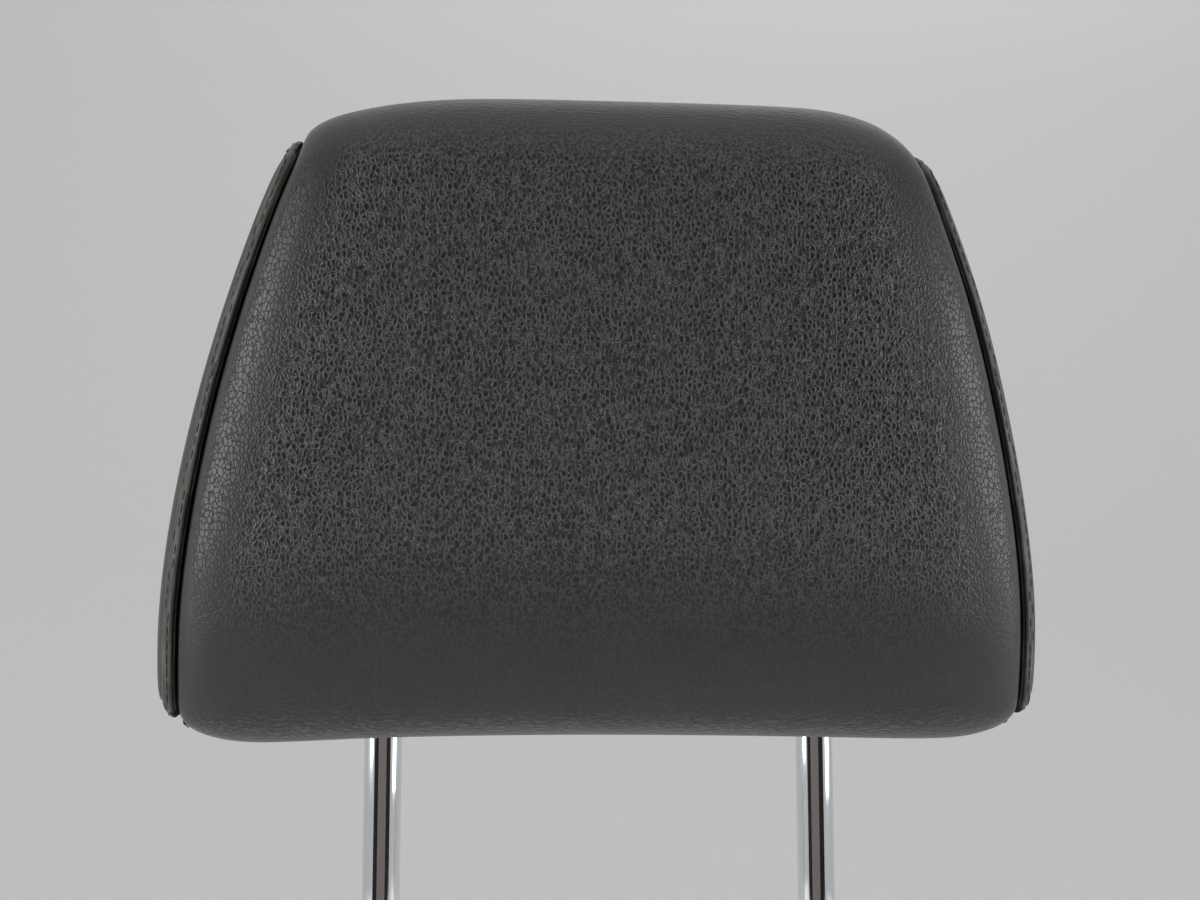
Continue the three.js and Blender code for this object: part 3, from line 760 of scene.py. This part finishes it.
def stretch(skin):
    rest = positions(skin)
    held = edge_points(skin)
    group = skin.vertex_groups.new(name="sewn")
    group.add(held, 1.0, "REPLACE")
    cloth = skin.modifiers.new("Cloth", "CLOTH")
    cloth.settings.vertex_group_mass = "sewn"
    cloth.settings.use_pressure = True
    cloth.settings.uniform_pressure_force = PRESSURE
    cloth.settings.effector_weights.gravity = 0
    scene = bpy.context.scene
    for step in range(1, CLOTH_FRAMES + 1):
        scene.frame_set(step)
    crease_highlight_and_drape = skin.evaluated_get(bpy.context.evaluated_depsgraph_get())
    moved = positions(crease_highlight_and_drape) - rest
    skin.modifiers.remove(cloth)
    scene.frame_set(1)
    reach = np.linalg.norm(moved, axis=1)
    print(skin.name, "moved up to", round(reach.max() / MM, 2), "mm, mean", round(reach.mean() / MM, 2))
    share = CLOTH_REACH * np.tanh(reach / CLOTH_REACH) / np.maximum(reach, 1e-9)
    moved = moved * share[:, None]
    moved[held] = 0
    set_positions(skin, rest + evened(skin, moved, held, EVENING_ROUNDS))
    skin.vertex_groups.clear()


stretch(front)

# %% [markdown]
# ## Seam edges
# At a seam both sheets turn down into it, so each skin ends in a small round shoulder.
# The points nearest the seam are let down along their normals, on a quarter circle.
# The gusset has its topstitch a little further out, and the thread pulls a shallow furrow there.
# Over the top both sheets round down into the seam, as the photo shows.

# %% Rolled edges and furrow
ROLL_RADIUS = 1.5 * MM
ROLL_DROP = 1.1 * MM
SHOULDER_REACH = 10 * MM
SHOULDER_DROP = 1.1 * MM
STITCH_OFFSET = 6.5 * MM
FURROW_WIDTH = 1.0 * MM
GUSSET_DROP = 1.3 * MM
GUSSET_REACH = 6 * MM
TOP_FROM = 172 * MM
TOP_TO = 194 * MM
FURROW_DEPTH = 0.5 * MM


def rim_tree(skin):
    points = positions(skin)
    rim = [v for v in edge_points(skin) if abs(points[v][0]) > RIM_X]
    tree = KDTree(len(rim))
    for v in rim:
        tree.insert(points[v], v)
    tree.balance()
    return tree


def distances(piece, tree):
    return np.array([tree.find(point)[2] for point in positions(piece)])


def roll_edge(skin, shoulder, furrow, dip):
    away = distances(skin, rim_tree(skin))
    inside = np.clip(1 - away / ROLL_RADIUS, 0, 1)
    high = np.clip((positions(skin)[:, 2] - TOP_FROM) / (TOP_TO - TOP_FROM), 0, 1)
    drop = ROLL_DROP * (1 - np.sqrt(1 - inside**2)) * (1 - 0.7 * high)
    reach = SHOULDER_REACH * (1 + 0.7 * high)
    drop += shoulder * (1 + 0.4 * high) * np.clip(1 - away / reach, 0, 1) ** 2
    drop += high * dip * np.clip(1 - away / GUSSET_REACH, 0, 1) ** 2
    drop += furrow * np.exp(-(((away - STITCH_OFFSET) / FURROW_WIDTH) ** 2))
    set_positions(skin, positions(skin) - normals(skin) * drop[:, None])
    print(skin.name, "rolled in by up to", round(drop.max() / MM, 2), "mm")


front_rim = rim_tree(front)
roll_edge(front, SHOULDER_DROP, 0, 0)
for skin in sides.values():
    roll_edge(skin, 0, FURROW_DEPTH, GUSSET_DROP)

# %% [markdown]
# ## Thickness of the cover
# Solidify gives the skins the thickness of leatherette on its foam backing, inwards from the shape above.

# %% Finished cover pieces
for skin in (front, *sides.values()):
    mark_seam(skin)
    apply(skin, "SOLIDIFY", thickness=COVER_THICKNESS, offset=-1.0)
    only(skin)
    bpy.ops.object.shade_smooth_by_angle(angle=math.radians(50))
    print(skin.name, len(skin.data.polygons), "faces")

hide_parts("cover_main_panel")
front.data.materials.append(front_leather)
for hand, skin in sides.items():
    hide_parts(f"cover_side_{hand}")
    skin.data.materials.append(side_leather)
for skin in (front, *sides.values()):
    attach(skin, "root")

# %% [markdown]
# ## Topstitching
# The gusset's edge is folded under and topstitched, a couple of millimetres outside the seam.
# One stitch is modelled and copied along that line, laid on the gusset's surface.

# %% Topstitch rows
STITCH_PITCH = 4.2 * MM
STITCH_LENGTH = 3.2 * MM
THREAD = 0.45 * MM


def resampled(loop, pitch):
    closed = np.vstack([loop, loop[:1]])
    steps = np.linalg.norm(np.diff(closed, axis=0), axis=1)
    along = np.concatenate([[0], np.cumsum(steps)])
    count = int(round(along[-1] / pitch))
    spots = np.arange(count) * along[-1] / count
    return np.stack([np.interp(spots, along, closed[:, k]) for k in range(3)], 1)


def one_stitch():
    bpy.ops.object.select_all(action="DESELECT")
    bpy.ops.mesh.primitive_uv_sphere_add(segments=8, ring_count=6, radius=THREAD / 2)
    stitch = named(bpy.context.object, "stitch")
    points = positions(stitch)
    half = STITCH_LENGTH / 2
    points[:, 2] *= 2 * half / THREAD
    set_positions(stitch, points)
    bpy.ops.object.shade_smooth()
    return stitch


def topstitch(hand, stitch):
    skin = sides[hand]
    surface = BVHTree.FromObject(skin, bpy.context.evaluated_depsgraph_get())
    loop = resampled(seams[hand], STITCH_PITCH)
    middle = Vector(loop.mean(0))
    copies = []
    for i, point in enumerate(loop):
        ahead = Vector(loop[(i + 1) % len(loop)]) - Vector(loop[i - 1])
        spot, normal, _, _ = surface.find_nearest(Vector(point))
        away = ahead.cross(normal).normalized()
        if away.x * middle.x < 0:
            away.negate()
        seat, normal, _, _ = surface.find_nearest(spot + away * STITCH_OFFSET)
        copy = stitch.copy()
        copy.data = stitch.data.copy()
        bpy.context.scene.collection.objects.link(copy)
        copy.rotation_euler = ahead.to_track_quat("Z", "Y").to_euler()
        copy.location = seat + normal * THREAD * 0.1
        copies.append(copy)
    bpy.ops.object.select_all(action="DESELECT")
    for copy in copies:
        copy.select_set(True)
    bpy.context.view_layer.objects.active = copies[0]
    bpy.ops.object.join()
    bpy.ops.object.transform_apply(location=True, rotation=True, scale=True)
    row = named(bpy.context.object, f"topstitch_{hand}")
    print(row.name, len(copies), "stitches")
    return row


stitch = one_stitch()
for hand in sides:
    row = topstitch(hand, stitch)
    row.data.materials.append(thread)
    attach(row, "root")
bpy.data.objects.remove(stitch)

# %% [markdown]
# ## Chrome tube
# The real frame is one length of steel tube, bent on a machine and plated.
# A ring is drawn up the left leg, spun round each bend and drawn across to the middle, as the bender does it.
# The leg is drawn in short steps, so the rounded rims of notches and foot don't bend its mirror shine.
# Mirror makes the other half, Solidify the wall, and the latch notches are cut with a wedge.

# %% Bent tube
TUBE_RADIUS = 6 * MM
TUBE_WALL = 2.5 * MM
LEG_X = 70 * MM
LEG_CHAMFER = 1 * MM
LEAN = math.radians(8)
LEAN_Z = 20 * MM
LEAN_BEND = 42 * MM
BAR_REACH = 102 * MM
BAR_BEND = 26 * MM
RING_SIDES = 64
LEG_RINGS = 40

leg_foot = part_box("frame_tube")[0].z
lean_tangent = LEAN_BEND * math.tan(LEAN / 2)
lean_way = Vector((0, -math.sin(LEAN), math.cos(LEAN)))
lean_centre = Vector((-LEG_X, -LEAN_BEND, LEAN_Z - lean_tangent))
bend_start = Vector((-LEG_X, 0, LEAN_Z)) + lean_way * (BAR_REACH - BAR_BEND)
bend_centre = bend_start + Vector((BAR_BEND, 0, 0))
bend_axis = Vector((0, math.cos(LEAN), math.sin(LEAN)))


def draw(offset):
    bpy.ops.mesh.extrude_region_move(TRANSFORM_OT_translate={"value": offset})


bpy.ops.object.select_all(action="DESELECT")
bpy.ops.mesh.primitive_circle_add(
    vertices=RING_SIDES, radius=TUBE_RADIUS - LEG_CHAMFER, location=(-LEG_X, 0, leg_foot)
)
tube = named(bpy.context.object, "chrome_tube")
bpy.ops.object.transform_apply(location=True, rotation=False, scale=False)
edit(tube)
bpy.ops.mesh.select_all(action="SELECT")
draw((0, 0, LEG_CHAMFER))
widen = TUBE_RADIUS / (TUBE_RADIUS - LEG_CHAMFER)
bpy.ops.transform.resize(value=(widen, widen, 1), center_override=(-LEG_X, 0, 0))
leg_step = (lean_centre.z - leg_foot - LEG_CHAMFER) / LEG_RINGS
for _ in range(LEG_RINGS):
    draw((0, 0, leg_step))
bpy.ops.mesh.spin(steps=6, angle=-LEAN, center=lean_centre, axis=(1, 0, 0))
draw(lean_way * (BAR_REACH - BAR_BEND - lean_tangent))
bpy.ops.mesh.spin(steps=24, angle=-math.radians(90), center=bend_centre, axis=bend_axis)
draw((LEG_X - BAR_BEND, 0, 0))
leave()
ends = positions(tube)
print("left half reaches", (ends.max(0) / MM).round(1), "from", (ends.min(0) / MM).round(1), "mm")

apply(tube, "MIRROR", use_axis=(True, False, False), merge_threshold=0.01 * MM)
edit(tube)
bpy.ops.mesh.select_all(action="SELECT")
bpy.ops.mesh.remove_doubles(threshold=0.01 * MM)
bpy.ops.mesh.normals_make_consistent(inside=False)
leave()
apply(tube, "SOLIDIFY", thickness=TUBE_WALL, offset=-1.0)

# %% [markdown]
# ## Latch notches
# A spring latch in the seat drops into the notches of the left leg. Each notch is square above, so it holds,
# and ramped below, so the latch slides out when the headrest is pushed down.
# One wedge is made from a cube whose lower outer edge is drawn down, and it is copied for each notch.

# %% Notches
NOTCH_DEPTH = 1.8 * MM
NOTCH_HEIGHT = 5 * MM
NOTCH_RAMP = 8 * MM
NOTCH_FIRST = 72 * MM
NOTCH_PITCH = 20 * MM
NOTCH_COUNT = 4
STOP_NOTCH = 152 * MM


def notch_wedge(side, drop):
    bpy.ops.object.select_all(action="DESELECT")
    bpy.ops.mesh.primitive_cube_add(size=1)
    wedge = bpy.context.object
    wedge.scale = (2 * NOTCH_DEPTH, 4 * TUBE_RADIUS, NOTCH_HEIGHT)
    wedge.location = (side * (LEG_X + TUBE_RADIUS), 0, -drop - NOTCH_HEIGHT / 2)
    bpy.ops.object.transform_apply(location=True, rotation=False, scale=True)
    edit(wedge)
    bpy.ops.mesh.select_all(action="DESELECT")
    leave()
    low = -drop - NOTCH_HEIGHT / 2
    for vertex in wedge.data.vertices:
        vertex.select = vertex.co.z < low and abs(vertex.co.x) > LEG_X + TUBE_RADIUS
    edit(wedge)
    bpy.ops.transform.translate(value=(0, 0, -NOTCH_RAMP))
    leave()
    return wedge


places = [(-1, NOTCH_FIRST + i * NOTCH_PITCH) for i in range(NOTCH_COUNT)]
places += [(-1, STOP_NOTCH), (1, STOP_NOTCH)]
for side, drop in places:
    wedge = notch_wedge(side, drop)
    apply(tube, "BOOLEAN", operation="DIFFERENCE", object=wedge, solver="EXACT")
    bpy.data.objects.remove(wedge)
apply(
    tube, "BEVEL", width=0.2 * MM, segments=2, limit_method="ANGLE", angle_limit=math.radians(35)
)
only(tube)
bpy.ops.object.shade_smooth_by_angle(angle=math.radians(30))
tube.data.materials.append(chrome)
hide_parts("frame_tube")
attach(tube, "root")
print("tube with", len(places), "notches:", len(tube.data.polygons), "faces")

# %% [markdown]
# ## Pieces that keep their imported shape
# The rosettes and the inner pieces are rigid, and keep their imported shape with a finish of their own.

# %% Foam, rosettes and inner pieces
GROOVE_DEPTH = 3.4 * MM
GROOVE_WIDTH = 7 * MM

foam_pad = cad_copy("foam_core", "foam_pad")
push_about(foam_pad)
sunk = GROOVE_DEPTH * np.exp(-((distances(foam_pad, front_rim) / GROOVE_WIDTH) ** 2))
set_positions(foam_pad, positions(foam_pad) - normals(foam_pad) * sunk[:, None])
print("foam let down under the seams by up to", round(sunk.max() / MM, 2), "mm")
# Its distance from the seams steers the foam's painted shade near them.
mark_seam(foam_pad)
only(foam_pad)
bpy.ops.object.shade_smooth_by_angle(angle=math.radians(40))
foam_pad.data.materials.append(foam)
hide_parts("foam_core")
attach(foam_pad, "root")

inner_finishes = {
    "carrier_front_shell": carrier_plastic,
    "carrier_rear_shell": carrier_plastic,
    "closure_profile_front": black_plastic,
    "closure_profile_rear": black_plastic,
    "leg_rosette_left": black_plastic,
    "leg_rosette_right": black_plastic,
}
for i in range(4):
    inner_finishes[f"carrier_screw_{i + 1}"] = zinc
for node, finish in inner_finishes.items():
    slots = frame["nodes"][node].data.materials
    slots.clear()
    slots.append(finish)
print(len(inner_finishes), "solids with a finish of their own")
